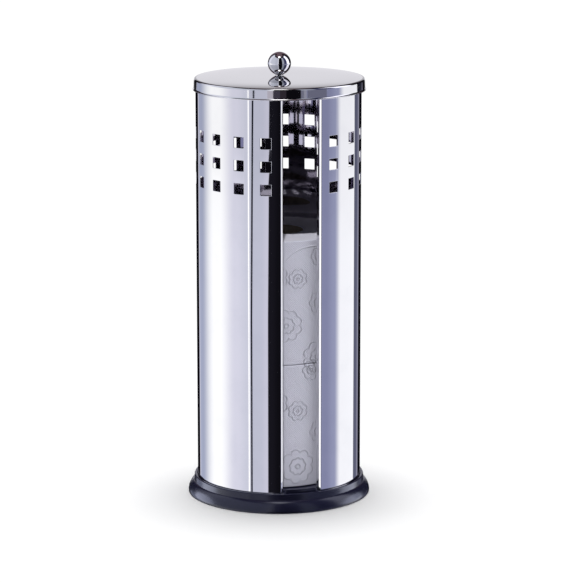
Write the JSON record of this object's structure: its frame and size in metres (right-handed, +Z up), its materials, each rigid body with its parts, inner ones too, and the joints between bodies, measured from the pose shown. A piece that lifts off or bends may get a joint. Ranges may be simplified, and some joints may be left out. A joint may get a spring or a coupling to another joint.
{
  "type": "toilet roll holder",
  "caption": "Upright polished steel tube with a front slot and square holes that stores toilet rolls on a black moulded base, under a lift-off lid with a ball knob.",
  "frame": {"origin": "on the floor under the middle of the base", "axes": "+Z up along the tube, -Y towards the slot, +X to the right as seen from the slot's side"},
  "size_m": [0.1452, 0.1452, 0.3539],
  "materials": {
    "polished_steel": "mirror polished",
    "screw_steel": "zinc plated",
    "black_plastic": "satin, moulded",
    "black_rubber": "matt",
    "tissue_paper": "soft, embossed",
    "cardboard": "plain"
  },
  "bodies": {
    "holder": {"base_moulding": "black_plastic", "non_slip_ring": "black_rubber", "tube": "polished_steel", "tab_screw_1": "screw_steel", "tab_screw_2": "screw_steel", "tab_screw_3": "screw_steel", "tab_screw_4": "screw_steel"},
    "lid": {"lid": "polished_steel", "knob": "polished_steel", "knob_washer": "screw_steel", "knob_screw": "screw_steel"},
    "lower_roll": {"lower_roll_paper": "tissue_paper", "lower_roll_core": "cardboard"},
    "upper_roll": {"upper_roll_paper": "tissue_paper", "upper_roll_core": "cardboard"}
  },
  "joints": [
    {"name": "lid_lift", "type": "slide", "parent": "holder", "child": "lid", "axis": [0, 0, 1], "range_m": [0, 0.15]},
    {"name": "lower_roll_lift", "type": "slide", "parent": "holder", "child": "lower_roll", "axis": [0, 0, 1], "range_m": [0, 0.055]},
    {"name": "upper_roll_lift", "type": "slide", "parent": "lower_roll", "child": "upper_roll", "axis": [0, 0, 1], "range_m": [0, 0.055]}
  ]
}
